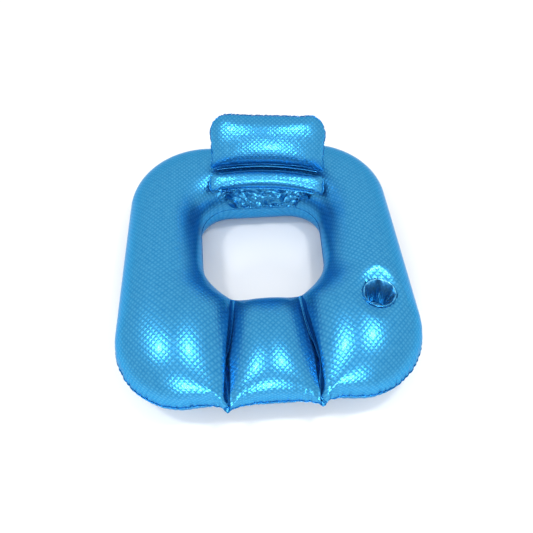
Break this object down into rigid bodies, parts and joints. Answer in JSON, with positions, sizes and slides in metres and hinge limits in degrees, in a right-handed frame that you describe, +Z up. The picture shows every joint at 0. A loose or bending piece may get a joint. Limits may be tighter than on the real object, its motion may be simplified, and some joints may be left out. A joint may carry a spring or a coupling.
{
  "type": "inflatable pool lounger",
  "caption": "Inflatable floating lounge ring with a seat hole, leg bolster, folding headrest and lumbar roll, cup pocket and push-in air valves.",
  "frame": {"origin": "on the floor, under the middle of the whole float's bounding box", "axes": "+Z up; -Y towards the front, where the legs go over the bolster; +X towards the arm with the cup pocket"},
  "size_m": [0.8758, 0.949, 0.3915],
  "materials": {
    "blue_vinyl": "embossed, glossy",
    "clear_vinyl": "glossy, slightly cloudy"
  },
  "bodies": {
    "ring": {"horseshoe_upper_sheet": "blue_vinyl", "horseshoe_lower_sheet": "blue_vinyl", "bolster_upper_sheet": "blue_vinyl", "bolster_lower_sheet": "blue_vinyl", "right_dividing_weld": "blue_vinyl", "left_dividing_weld": "blue_vinyl", "backrest_flap": "blue_vinyl", "cup_rim_ring": "blue_vinyl", "cup_sleeve": "blue_vinyl", "cup_base_disc": "blue_vinyl", "ring_valve_flange": "clear_vinyl", "bolster_valve_flange": "clear_vinyl"},
    "lumbar_roll": {"lumbar_roll_front_sheet": "blue_vinyl", "lumbar_roll_back_sheet": "blue_vinyl"},
    "headrest": {"headrest_front_sheet": "blue_vinyl", "headrest_back_sheet": "blue_vinyl", "headrest_valve_flange": "clear_vinyl"},
    "ring_valve_stem": {"ring_valve_stem": "clear_vinyl", "ring_valve_check_flap": "clear_vinyl"},
    "ring_valve_cap": {"ring_valve_cap": "clear_vinyl"},
    "bolster_valve_stem": {"bolster_valve_stem": "clear_vinyl", "bolster_valve_check_flap": "clear_vinyl"},
    "bolster_valve_cap": {"bolster_valve_cap": "clear_vinyl"},
    "headrest_valve_stem": {"headrest_valve_stem": "clear_vinyl", "headrest_valve_check_flap": "clear_vinyl"},
    "headrest_valve_cap": {"headrest_valve_cap": "clear_vinyl"}
  },
  "joints": [
    {"name": "backrest_fold", "type": "hinge", "parent": "ring", "child": "lumbar_roll", "pos_m": [0.024, 0.22047, 0.22455], "axis": [0.9954, -0.0958, 0], "range_deg": [0, 120]},
    {"name": "headrest_fold", "type": "hinge", "parent": "lumbar_roll", "child": "headrest", "pos_m": [0.0296, 0.27865, 0.26397], "axis": [0.9954, -0.0958, 0], "range_deg": [-25, 60]},
    {"name": "ring_valve_pull", "type": "slide", "parent": "ring", "child": "ring_valve_stem", "axis": [0, 0.859, 0.5119], "range_m": [0, 0.008]},
    {"name": "ring_valve_cap_hinge", "type": "hinge", "parent": "ring_valve_stem", "child": "ring_valve_cap", "pos_m": [-0.083, 0.45438, 0.18546], "axis": [0, 0.5119, -0.859], "range_deg": [0, 140]},
    {"name": "bolster_valve_pull", "type": "slide", "parent": "ring", "child": "bolster_valve_stem", "axis": [0, 0, -1], "range_m": [0, 0.008]},
    {"name": "bolster_valve_cap_hinge", "type": "hinge", "parent": "bolster_valve_stem", "child": "bolster_valve_cap", "pos_m": [-0.012, -0.28903, 0.0275], "axis": [0, 1, 0], "range_deg": [0, 140]},
    {"name": "headrest_valve_pull", "type": "slide", "parent": "headrest", "child": "headrest_valve_stem", "axis": [0.0734, 0.7625, -0.6428], "range_m": [0, 0.008]},
    {"name": "headrest_valve_cap_hinge", "type": "hinge", "parent": "headrest_valve_stem", "child": "headrest_valve_cap", "pos_m": [0.02665, 0.37322, 0.29259], "axis": [0.0616, 0.6398, 0.766], "range_deg": [0, 140]}
  ]
}
